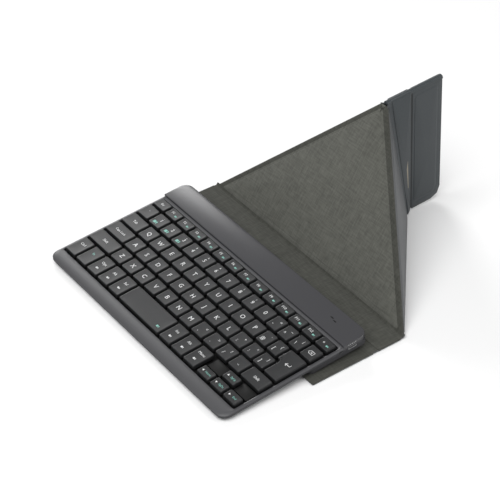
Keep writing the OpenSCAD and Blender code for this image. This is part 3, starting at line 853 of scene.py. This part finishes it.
    def _print(self, node: str, spans: list, legends: list[str]) -> None:
        """Prints a node's legends: white main marks and teal second marks.

        Args:
            node: The CAD node's name.
            spans: The low and high corners of each cap.
            legends: The main legend of each cap.
        """
        ink = MeshParts()
        for (low, high), legend in zip(spans, legends):
            centre, size = (low + high) / 2, high - low
            z = high[2] - self.dish * 0.8
            if node in self.ARROWS:
                self._arrow(ink, centre[:2] + [-4.2 * MM, 0], z, np.radians(self.ARROWS[node]))
                self._text(ink, legend, centre[:2] + [1.7 * MM, 0], z, 2.6 * MM, 1)
            elif node == "function_keys":
                self._text(ink, legend, centre[:2] + [-2.2 * MM, 0.7 * MM], z, 3.3 * MM, 0)
                self._mark(ink, centre[:2] + [3.2 * MM, -0.9 * MM], z, 1, 1.5)
            elif node == "digit_keys" and legend in "123":
                self._text(ink, legend, centre[:2] + [1.0 * MM, 1.2 * MM], z, 4.6 * MM, 0)
                self._text(ink, self.SHIFTED[legend], centre[:2] + [1.0 * MM, 4.6 * MM], z, 2.4 * MM, 0)
                self._mark(ink, centre[:2] + [-1.6 * MM, -3.2 * MM], z, 1, 2.6)
            elif legend in self.SHIFTED and legend.isdigit():
                self._text(ink, legend, centre[:2] + [0, -0.6 * MM], z, 5.0 * MM, 0)
                self._text(ink, self.SHIFTED[legend], centre[:2] + [0, 3.8 * MM], z, 2.4 * MM, 0)
            elif legend in self.SHIFTED:
                self._text(ink, legend, centre[:2] + [-2.2 * MM, -2.2 * MM], z, 4.4 * MM, 0)
                self._text(ink, self.SHIFTED[legend], centre[:2] + [2.2 * MM, 2.4 * MM], z, 3.6 * MM, 0)
            elif len(legend) > 1:
                size_of_text = 3.0 * MM if size[1] < 12 * MM or len(legend) > 5 else 3.5 * MM
                spot = centre[:2] if node != "modifier_keys" else centre[:2] + [0, 3 * MM]
                self._text(ink, legend, spot, z, size_of_text, int(legend == "fn"))
                if node == "modifier_keys" and legend not in ("Ctrl", "fn"):
                    self._mark(ink, centre[:2] + [0, -4 * MM], z, 0, 1.6)
            elif legend == "<":
                self._backspace(ink, centre[:2], z)
            elif legend:
                self._text(ink, legend, centre[:2], z, 5.6 * MM if legend.isalnum() else 4.4 * MM, 0)
        if node == "space_bar":
            low, high = spans[0]
            spot = np.array([high[0] - 6 * MM, low[1] + 5 * MM])
            self._mark(ink, spot, high[2] - self.dish * 0.8, 1, 1.8)
        place(ink.build(f"{node}_legends", [WHITE_INK, TEAL_INK]), node, "keys")

    def _mark(self, ink: MeshParts, spot: np.ndarray, z: float, finish: int = 1, grow: float = 1.0) -> None:
        """A small neutral second mark: a block with a narrow bar beside it.

        Args:
            ink: Where the mark is gathered.
            spot: Centre, in the plane.
            z: Height of the cap's surface.
            finish: Finish number, 0 for white and 1 for teal.
            grow: Factor on the mark's size.
        """
        for x, w in ((-0.9, 1.0), (0.4, 0.35)):
            corners = np.array([[x, -0.5], [x + w, -0.5], [x + w, 0.5], [x, 0.5]]) * grow * MM + spot
            rings = [lifted(outline(corners, 0, 0.15 * MM, 2), h) for h in (z - self.ink, z + self.ink)]
            ink.loft(self.plane.world(np.array(rings)), finish)

    def _arrow(self, ink: MeshParts, spot: np.ndarray, z: float, turn: float) -> None:
        """A solid triangle pointing along the given angle.

        Args:
            ink: Where the triangle is gathered.
            spot: Centre, in the plane.
            z: Height of the cap's surface.
            turn: The angle, in radians.
        """
        angles = turn + np.radians([0, 120, 240])
        corners = np.stack([np.cos(angles), np.sin(angles)], 1) * 1.2 * MM + spot
        ink.loft(self.plane.world(np.array([lifted(corners, z - self.ink), lifted(corners, z + self.ink)])))

    def _backspace(self, ink: MeshParts, spot: np.ndarray, z: float) -> None:
        """A left-pointing box with a cross in it.

        Args:
            ink: Where the mark is gathered.
            spot: Centre, in the plane.
            z: Height of the cap's surface.
        """
        box = np.array([[-3, 0], [-1.4, -1.6], [2.6, -1.6], [2.6, 1.6], [-1.4, 1.6], [-3, 0]]) * MM + spot
        self._stroke(ink, box, z, 0.35 * MM)
        for sign in (1, -1):
            self._stroke(ink, np.array([[-0.4, -0.7 * sign], [1.0, 0.7 * sign]]) * MM + spot, z, 0.35 * MM)

    def _text(self, ink: MeshParts, text: str, spot: np.ndarray, z: float, height: float,
              finish: int) -> None:
        """Plain lettering as a thin solid, centred on a spot of the key's plane.

        Args:
            ink: Where the lettering is gathered.
            text: The characters.
            spot: Centre, in the plane.
            z: Height of the cap's surface.
            height: Size of the lettering.
            finish: Finish number, 0 for white and 1 for teal.
        """
        curve = bpy.data.curves.new("legend", "FONT")
        curve.body = text
        curve.size = height
        curve.align_x = "CENTER"
        curve.align_y = "CENTER"
        curve.extrude = self.ink
        curve.resolution_u = 2
        thing = bpy.data.objects.new("legend", curve)
        bpy.context.scene.collection.objects.link(thing)
        bpy.context.view_layer.update()
        graph = bpy.context.evaluated_depsgraph_get()
        mesh = bpy.data.meshes.new_from_object(thing.evaluated_get(graph))
        flat = np.zeros(len(mesh.vertices) * 3, np.float32)
        mesh.vertices.foreach_get("co", flat)
        points = flat.reshape(-1, 3).astype(float) + np.array([spot[0], spot[1], z])
        faces = [list(face.vertices) for face in mesh.polygons]
        if faces:
            ink.add(self.plane.world(points), faces, finish)
        bpy.data.objects.remove(thing)
        bpy.data.meshes.remove(mesh)
        bpy.data.curves.remove(curve)


# ---------------------------------------------------------------- cover


@dataclass
class Cover:
    """The folding cover: stiff panels, and soft creases that bend between them."""

    tight: float = 3 * MM
    plain: float = 2 * MM
    board: float = 7 * MM
    half: float = 1.2 * MM
    thin: float = 0.72 * MM
    tuck: float = 0.6 * MM
    border: float = 4.4 * MM
    skirt: float = 0.8 * MM
    seam: float = 0.9 * MM
    flap_cut: float = 9 * MM
    TRIM: ClassVar[dict[str, tuple[float, float]]] = {
        "wing": (3.0 * MM, 3.0 * MM), "fin": (2.0 * MM, 2.5 * MM), "flap": (1.0 * MM, 1.0 * MM)}
    bow: tuple[float, float, float] = (5.0 * MM, 5.6 * MM, 0.0)

    def dress(self) -> None:
        """Builds every panel, then every crease."""
        self._corners()
        self.flat_panels()
        self.front()
        for side, turn in (("right", np.asarray), ("left", mirrored)):
            self.side_panels(side, turn)
            self.side_creases(side, turn)
        self.flat_creases()

    def _corners(self) -> None:
        """Crease corners from the joints: the wing and fin creases meet at the apex.

        The apex is where p + s a comes nearest to q + t b, for the two crease directions.
        """
        wing, fin, flap = (JOINTS[f"right_{name}_fold"] for name in ("wing", "fin", "flap"))
        self.p, self.q, self.s_low = (np.array(j["pos_m"], float) for j in (wing, fin, flap))
        a, b = -np.array(wing["axis"], float), np.array(fin["axis"], float)
        solved = np.linalg.lstsq(np.stack([a, -b], 1), self.q - self.p, rcond=None)[0]
        self.m = self.p + a * solved[0]
        down = np.array(flap["axis"], float)
        self.s_top = self.s_low - down * (self.p[0] - self.m[0])
        along = unit(self.s_low - self.q)
        reach = ((vertices_of("right_flap") - self.s_low) @ along).max()
        self.e_low, self.e_top = self.s_low + along * reach, self.s_top + along * reach
        self.lean = np.array(JOINTS["stand_lean"]["pos_m"], float)
        self.spine = np.array(JOINTS["spine_fold"]["pos_m"], float)

    def panel(self, name: str, corners: list, edges: list, boards: list, body: str, slot: str,
              finishes: tuple[Finish, Finish], nodes: tuple[str, ...], radius: float = 1.5 * MM,
              inner_radius: float = 5 * MM, relief: float = 1.0, swell: str = "") -> None:
        """One stiff panel: thin rim, a soft step at the board's edge and a flat middle.

        Rings go from the back's middle, round the rim and up to the front's middle.

        Args:
            name: Name of the piece.
            corners: Corners in the row frame, anticlockwise seen from the lining side.
            edges: How far each side stays back from the corner line.
            boards: How far the board's line stays back on each side.
            body: The body that it rides on.
            slot: The record's slot.
            finishes: Back and front finishes.
            nodes: The CAD nodes that it stands for.
            radius: Radius of the rim's corners.
            inner_radius: Radius of the board's corners.
            relief: How far the board shows, from 0 to 1.
            swell: right or left where the panel bows out at its foot, else empty.
        """
        corners = np.asarray(corners, float)
        base = Plane.through(corners[0], corners[1], corners.mean(0))
        flat = base.local(corners)[:, :2]
        edges, boards = np.asarray(edges, float), np.asarray(boards, float)
        thin = self.thin + (1 - relief) * (self.half - self.thin)
        steps = [(1.10, -self.half), (1.0, -self.half + 0.08 * MM), (0.90, -thin - 0.05 * MM), (0.78, -thin),
                 (0.10, -thin), (0.035, -0.6 * thin), (0.0, 0.0), (0.035, 0.6 * thin), (0.10, thin),
                 (0.78, thin), (0.90, thin + 0.05 * MM), (1.0, self.half - 0.08 * MM), (1.10, self.half)]
        rings = []
        for share, z in steps:
            insets = edges + share * (boards - edges)
            r = radius + share * (inner_radius - radius) + insets.mean()
            rings.append(lifted(outline(flat, insets, r, 6), z))
        parts = MeshParts()
        parts.loft(self.bowed(base.world(np.array(rings)), swell), 0, 6, fan=True)
        place(parts.build(name, list(finishes)), body, slot, *nodes)

    def bowed(self, points: np.ndarray, side: str) -> np.ndarray:
        """Bows the wing and fin outwards where they meet near the table.

        At height z, with v = 1 - z / top, the share is v a (1 - b): a runs from the wing's crease to
        the fin's crease, and b from there to the flap's crease.

        Args:
            points: Points in the row frame, any shape ending in 3.
            side: right or left, or empty for no change.

        Returns:
            The moved points.
        """
        if not side:
            return points
        right = points if side == "right" else mirrored(points)
        v = np.clip(1 - right[..., 2:] / self.m[2], 0.02, 1)
        wing = (self.m + (self.p - self.m) * v)[..., :2]
        fin = (self.m + (self.q - self.m) * v)[..., :2]
        flap = (self.s_top + (self.s_low - self.s_top) * v)[..., :2]
        flat = right[..., :2]
        a = ((flat - wing) * (fin - wing)).sum(-1) / ((fin - wing) ** 2).sum(-1)
        b = ((flat - fin) * (flap - fin)).sum(-1) / ((flap - fin) ** 2).sum(-1)
        share = v[..., 0] * np.clip(a, 0, 1) * (1 - np.clip(b, 0, 1))
        moved = right + share[..., None] * np.array(self.bow)
        return moved if side == "right" else mirrored(moved)

    def flat_panels(self) -> None:
        """Base panel under the keyboard and the spine strip behind it."""
        half = self.half
        for name, body, gaps, radius in (("base", "base", (0, 0, self.plain, 0), 1 * MM),
                                         ("spine", "spine", (self.plain, 0, self.plain, 0), 1 * MM)):
            low, high = (np.array(c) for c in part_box(f"{name}_leather"))
            y0, y1 = low[1] - gaps[0], high[1] + gaps[2]
            corners = [[low[0], y0, half], [high[0], y0, half], [high[0], y1, half], [low[0], y1, half]]
            edges = np.array(gaps, float)
            # The lining face takes the darker copy of the lining: painted shade on the base and spine strip.
            self.panel(f"{name}_panel", corners, edges, edges + 3.5 * MM, body, "leather",
                       (BACK_LEATHER, PAINTED_SHADE_LINING), (f"{name}_leather", f"{name}_lining"), radius,
                       3 * MM, 0.3)

    def front(self) -> None:
        """The triangular front panel that the tablet leans on, lined with microfibre."""
        corners = [mirrored(self.p), self.p, self.m, mirrored(self.m)]
        edges = [self.plain, self.border, self.tight, self.border]
        self.panel("front_panel", corners, edges, [6.5 * MM, self.board, 12 * MM, self.board], "stand_front",
                   "lining", (BACK_LEATHER, MICROFIBRE), ("front_leather", "front_lining"), 1 * MM, 4 * MM)

    def side_panels(self, side: str, turn: Turn) -> None:
        """Wing, fin and flap of one side.

        Args:
            side: right or left.
            turn: A function that carries right-hand points to this side.
        """
        free = -0.9 * MM
        leathers = (BACK_LEATHER, FIN_LEATHER)
        specs = [
            ("wing", [self.p, self.q, self.m], [free, self.tight, self.tight], [self.board] * 3, 1 * MM),
            ("fin", [self.m, self.q, self.s_low, self.s_top], [self.tight, free, self.seam, 0],
             [self.tight + 1 * MM, 1 * MM, self.seam + 0.6 * MM, 1.2 * MM], 0.8 * MM),
            ("flap", [self.s_top, self.s_low, self.e_low, self.e_top], [self.seam, free, 0, 0],
             [self.seam + 2.4 * MM, self.board, 6 * MM, self.board], 0.8 * MM),
        ]
        for name, corners, edges, boards, radius in specs:
            corners = [turn(c) for c in corners]
            if side == "left":
                corners = [corners[0], *corners[:0:-1]]
                edges, boards = edges[::-1], boards[::-1]
            body = f"{side}_{name}"
            nodes = (body,) if name == "flap" else (f"{body}_leather", f"{body}_lining")
            if name == "flap":
                self.flap_panel(corners, edges, boards, body, leathers)
            else:
                # The wing's lining face takes the pale grey of painted sheen.
                pair = (BACK_LEATHER, WING_FACE_PAINTED_SHEEN) if name == "wing" else leathers
                inner_radius = 3 * MM if name == "wing" else 1 * MM
                self.panel(f"{body}_panel", corners, edges, boards, body, "smooth_leather", pair, nodes,
                           radius, inner_radius, 1.0, side)
                self.bowed_board(side, body)

    def bowed_board(self, side: str, body: str) -> None:
        """The board inside a panel that bows, moved with the panel so that it stays inside.

        Args:
            side: right or left.
            body: The body that it rides on.
        """
        node = f"{body}_board"
        faces = [list(face.vertices) for face in frame["nodes"][node].data.polygons]
        parts = MeshParts()
        parts.add(self.bowed(vertices_of(node), side), faces)
        place(parts.build(f"{body}_bowed_board", [BOARD]), body, "board", node)

    def flap_panel(self, corners: list, edges: list, boards: list, body: str,
                   leathers: tuple[Finish, Finish]) -> None:
        """The closing flap, whose third corner, free and low, is cut into three.

        Args:
            corners: Corners in the row frame.
            edges: How far each side stays back from the corner line.
            boards: How far the board's line stays back on each side.
            body: The body that it rides on.
            leathers: Back and front finishes.
        """
        before, corner, after = (np.asarray(corners[k]) for k in (1, 2, 3))
        first = corner + unit(before - corner) * self.flap_cut
        second = corner + unit(after - corner) * self.flap_cut
        middle = corner + (unit(before - corner) + unit(after - corner)) * 0.28 * self.flap_cut
        spot = 2
        corners = [*corners[:spot], first, middle, second, *corners[spot + 1:]]
        edges = [*edges[:spot], edges[spot - 1] / 2, edges[spot] / 2, *edges[spot:]]
        boards = [*boards[:spot], boards[spot - 1], boards[spot - 1], *boards[spot:]]
        self.panel(f"{body}_panel", corners, edges, boards, body, "smooth_leather", leathers, (body,),
                   1.5 * MM, 3 * MM)

    def crease(self, name: str, start: np.ndarray, end: np.ndarray, into_a: np.ndarray, into_b: np.ndarray,
               gap_a: float, gap_b: float, bodies: tuple[str, str], slot: str,
               finishes: tuple[Finish, Finish], normal: np.ndarray, swell: str = "") -> None:
        """A soft strip over a joint: a cubic from one panel's rim to the other's, with a thickness.

        The middle line is (1 - t)^3 a + t^3 b, a cubic with both inner guides on the joint's axis.

        Args:
            name: Name of the piece.
            start: One end of the axis.
            end: The other end.
            into_a: Direction from the axis into the first panel.
            into_b: Direction from the axis into the second panel.
            gap_a: Distance from the axis to the first panel's rim.
            gap_b: The same for the second panel.
            bodies: Names of the two bodies.
            slot: The record's slot; not used.
            finishes: Back and front finishes.
            normal: Direction that the lining faces on the first panel.
            swell: right or left where the strip bows out with its panels, else empty.
        """
        start, end = np.asarray(start, float), np.asarray(end, float)
        a = unit(np.asarray(into_a, float)) * (gap_a + self.tuck)
        b = unit(np.asarray(into_b, float)) * (gap_b + self.tuck)
        along = unit(end - start)
        t = np.linspace(0, 1, 13)[:, None]
        line = (1 - t) ** 3 * a + t ** 3 * b
        slope = -3 * (1 - t) ** 2 * a + 3 * t ** 2 * b + 1e-9 * (b - a)
        slope /= np.linalg.norm(slope, axis=1)[:, None]
        side = np.cross(slope, along)
        if side[0] @ np.asarray(normal, float) < 0:
            side = -side
        thick = self.thin * (0.9 - 0.15 * np.sin(np.pi * t))
        loop = np.concatenate([line + side * thick, (line - side * thick)[::-1]])
        count = max(int(np.linalg.norm(end - start) / (3 * MM)), 2)
        s = np.linspace(0, 1, count)[:, None, None]
        near, far = self.TRIM.get(name.split("_")[1], (0.0, 0.0))
        first, last = start + along * near, end - along * far
        rings = (first + (last - first) * s) + loop[None]
        parts = MeshParts()
        parts.loft(self.bowed(rings, swell))
        front = np.arange(len(loop)) < len(loop) // 2
        parts.finishes = [*np.tile(front, count - 1).astype(int).tolist(), 0, 0]
        piece = parts.build(name, list(finishes), 0.9)
        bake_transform(piece)
        log.info("%s bends between %s and %s", name, *bodies)

    def flat_creases(self) -> None:
        """The two straight creases across the cover, at the keyboard's rear and at the stand's foot."""
        low, high = (np.array(c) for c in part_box("spine_leather"))
        x0, x1 = low[0] + 0.4 * MM, high[0] - 0.4 * MM
        up, back = np.array([0, 0, 1.0]), np.array([0, 1.0, 0])
        # The crease fronts take the darker copy of the lining: painted shade.
        pair = (BACK_LEATHER, PAINTED_SHADE_LINING)
        self.crease("spine_crease", [x0, *self.spine[1:]], [x1, *self.spine[1:]], -back, back, self.plain,
                    self.plain, ("base", "spine"), "lining", pair, up)
        self.crease("foot_crease", [x0, *self.lean[1:]], [x1, *self.lean[1:]], -back,
                    unit(self.m - [self.m[0], *self.p[1:]]), self.plain, self.plain, ("spine", "stand_front"),
                    "lining", pair, up)

    def side_creases(self, side: str, turn: Turn) -> None:
        """Wing, fin and flap creases of one side, and the half of the top fold.

        Args:
            side: right or left.
            turn: A function that carries right-hand points to this side.
        """
        sets = [
            # The wing crease's front takes the darker copy of the lining: painted shade along the fold.
            ("wing", self.p, self.m, mirrored(self.p), self.q, (self.border, self.tight),
             "stand_front", f"{side}_wing", (BACK_LEATHER, PAINTED_SHADE_LINING)),
            ("fin", self.q, self.m, self.p, self.s_low, (self.tight, self.tight),
             f"{side}_wing", f"{side}_fin", (BACK_LEATHER, FIN_LEATHER)),
            ("flap", self.s_low, self.s_top, self.q, self.e_low, (self.seam, self.seam),
             f"{side}_fin", f"{side}_flap", (BACK_LEATHER, CREASE_LEATHER)),
        ]
        for name, start, end, in_a, in_b, gap, a, b, pair in sets:
            to_a, to_b = across(in_a, start, end), across(in_b, start, end)
            normal = np.cross(unit(end - start), to_a)
            self.crease(f"{side}_{name}_crease", turn(start), turn(end), turn(to_a), turn(to_b), *gap, (a, b),
                        "smooth_leather", pair, turn(normal), side if name == "fin" else "")
        self.top_fold(side, turn, "fin", self.m, self.s_top)
        self.top_fold(side, turn, "flap", self.s_top, self.e_top)

    def top_fold(self, side: str, turn: Turn, name: str, start: np.ndarray, end: np.ndarray) -> None:
        """Half of the rounded fold along the top edge, a quarter round from the face to the middle plane.

        Args:
            side: right or left.
            turn: A function that carries right-hand points to this side.
            name: fin or flap.
            start: One end of the fold, on the right.
            end: The other end, on the right.
        """
        start, end = np.asarray(start, float), np.asarray(end, float)
        along = unit(end - start)
        outward = np.array([1.0, 0, 0])
        up = unit(np.cross(outward, along))
        if up[2] < 0:
            up = -up
        radius = start[0] + self.thin + 0.14 * MM
        angle = np.linspace(0, np.pi / 2, 9)[:, None]
        arc = outward * np.cos(angle) * radius + up * np.sin(angle) * radius * 0.8
        middle_gap = 0.02 * MM
        core = np.array([outward * middle_gap - up * self.skirt, outward * radius - up * self.skirt])
        arc[-1] = outward * middle_gap + up * radius * 0.8
        loop = np.concatenate([core, arc]) - outward * start[0]
        count = 12
        s = np.linspace(0, 1, count)[:, None, None]
        rings = start + (end - start) * s + loop[None] - up * radius * 0.7
        rings = turn(rings)
        parts = MeshParts()
        parts.loft(rings)
        piece = parts.build(f"{side}_{name}_top_fold", [FIN_LEATHER], 0.9)
        place(piece, f"{side}_{name}", "smooth_leather")


# ---------------------------------------------------------------- studio


@dataclass
class Studio:
    """Pale floor, soft lights and the camera."""

    lens: float = 130.5
    eye: tuple[float, float, float] = (0.8921, -0.6611, 0.9250)
    aim: tuple[float, float, float] = (-0.03135, 0.0258, 0.00425)

    def dress(self) -> None:
        """Builds the floor, the world, the lights and the camera."""
        self.floor()
        self.world()
        self.light("top_light", (0.35, -0.9, 1.75), 1.8, 44.0)
        self.light("left_light", (-1.83, 0.59, 0.86), 0.9, 20.0)
        self.light("side_light", (1.2, 1.1, 0.9), 0.9, 8.0)
        self.camera()

    def floor(self) -> None:
        """A wide pale sheet just under the object."""
        mesh = bpy.data.meshes.new("floor")
        r, z = 4.0, -0.0002
        mesh.from_pydata([(-r, -r, z), (r, -r, z), (r, r, z), (-r, r, z)], [], [(0, 1, 2, 3)])
        made = bpy.data.objects.new("floor", mesh)
        bpy.context.scene.collection.objects.link(made)
        pale = bpy.data.materials.new("pale_floor")
        pale.use_nodes = True
        shader = pale.node_tree.nodes["Principled BSDF"]
        shader.inputs["Base Color"].default_value = (0.9, 0.9, 0.9, 1.0)
        shader.inputs["Roughness"].default_value = 0.8
        mesh.materials.append(pale)

    def world(self) -> None:
        """Even white surroundings, and plain colour handling."""
        world = bpy.data.worlds.new("studio")
        world.use_nodes = True
        world.node_tree.nodes["Background"].inputs["Color"].default_value = (1.0, 1.0, 1.0, 1.0)
        world.node_tree.nodes["Background"].inputs["Strength"].default_value = 0.19
        bpy.context.scene.world = world
        bpy.context.scene.view_settings.view_transform = "Standard"

    def light(self, name: str, spot: tuple[float, float, float], size: float, power: float) -> None:
        """A square soft light aimed at the object's middle.

        Args:
            name: The light's name.
            spot: Where it stands.
            size: Length of its side.
            power: Its power in watts.
        """
        data = bpy.data.lights.new(name, "AREA")
        data.size = size
        data.energy = power
        lamp = bpy.data.objects.new(name, data)
        lamp.location = spot
        lamp.rotation_euler = (Vector((0, 0, 0)) - Vector(spot)).to_track_quat("-Z", "Y").to_euler()
        bpy.context.scene.collection.objects.link(lamp)

    def camera(self) -> None:
        """The camera at the viewing angle of a seated onlooker on the right."""
        data = bpy.data.cameras.new("camera")
        data.lens = self.lens
        data.sensor_width = 36.0
        data.clip_start = 0.05
        eye = bpy.data.objects.new("camera", data)
        eye.location = self.eye
        eye.rotation_euler = (Vector(self.aim) - Vector(self.eye)).to_track_quat("-Z", "Y").to_euler()
        bpy.context.scene.collection.objects.link(eye)
        bpy.context.scene.camera = eye


def main() -> None:
    """Builds the studio, the keyboard and the cover."""
    Studio().dress()
    plane = keyboard_plane()
    Slab(plane).dress()
    KeyField(plane).dress()
    Cover().dress()


if __name__ == "__main__":
    main()
